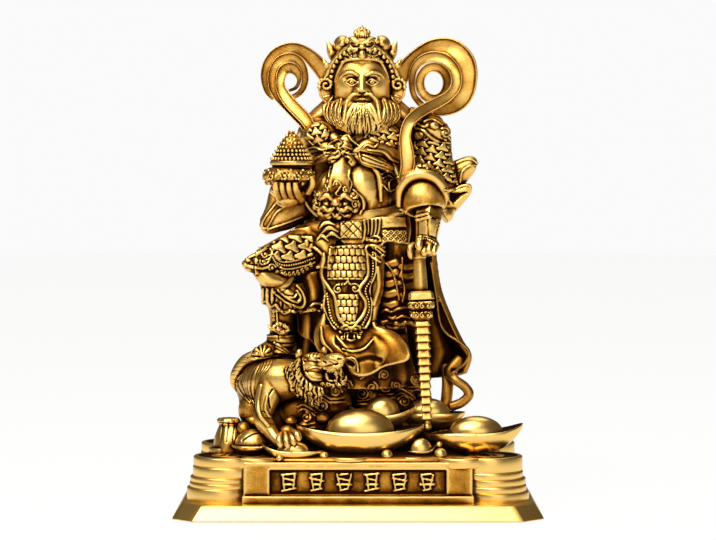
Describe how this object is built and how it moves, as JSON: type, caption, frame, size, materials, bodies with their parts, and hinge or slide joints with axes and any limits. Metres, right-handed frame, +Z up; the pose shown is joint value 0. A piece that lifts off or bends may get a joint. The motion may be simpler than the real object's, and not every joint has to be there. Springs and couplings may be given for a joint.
{
  "type": "caishen figure",
  "caption": "Cast brass altar figure of an armoured god of wealth over a tiger and boat ingots, with treasure bowl, jointed whip, curling ribbons and a stepped plinth with coin stacks.",
  "frame": {"origin": "centre of the plinth's underside, on the surface it stands on", "axes": "+Z up, front of the figure towards -Y, +X towards the arm with the whip"},
  "size_m": [0.288, 0.19, 0.3835],
  "materials": {
    "plinth_brass": "polished brass, dark patina in the sunk panel and between the coins",
    "figure_brass": "antiqued brass, polished on raised parts and dark brown in the recesses",
    "whip_brass": "polished brass with dark lines between the joints"
  },
  "bodies": {
    "root": {"plinth": "plinth_brass", "figure": "figure_brass", "whip": "whip_brass"}
  },
  "joints": []
}
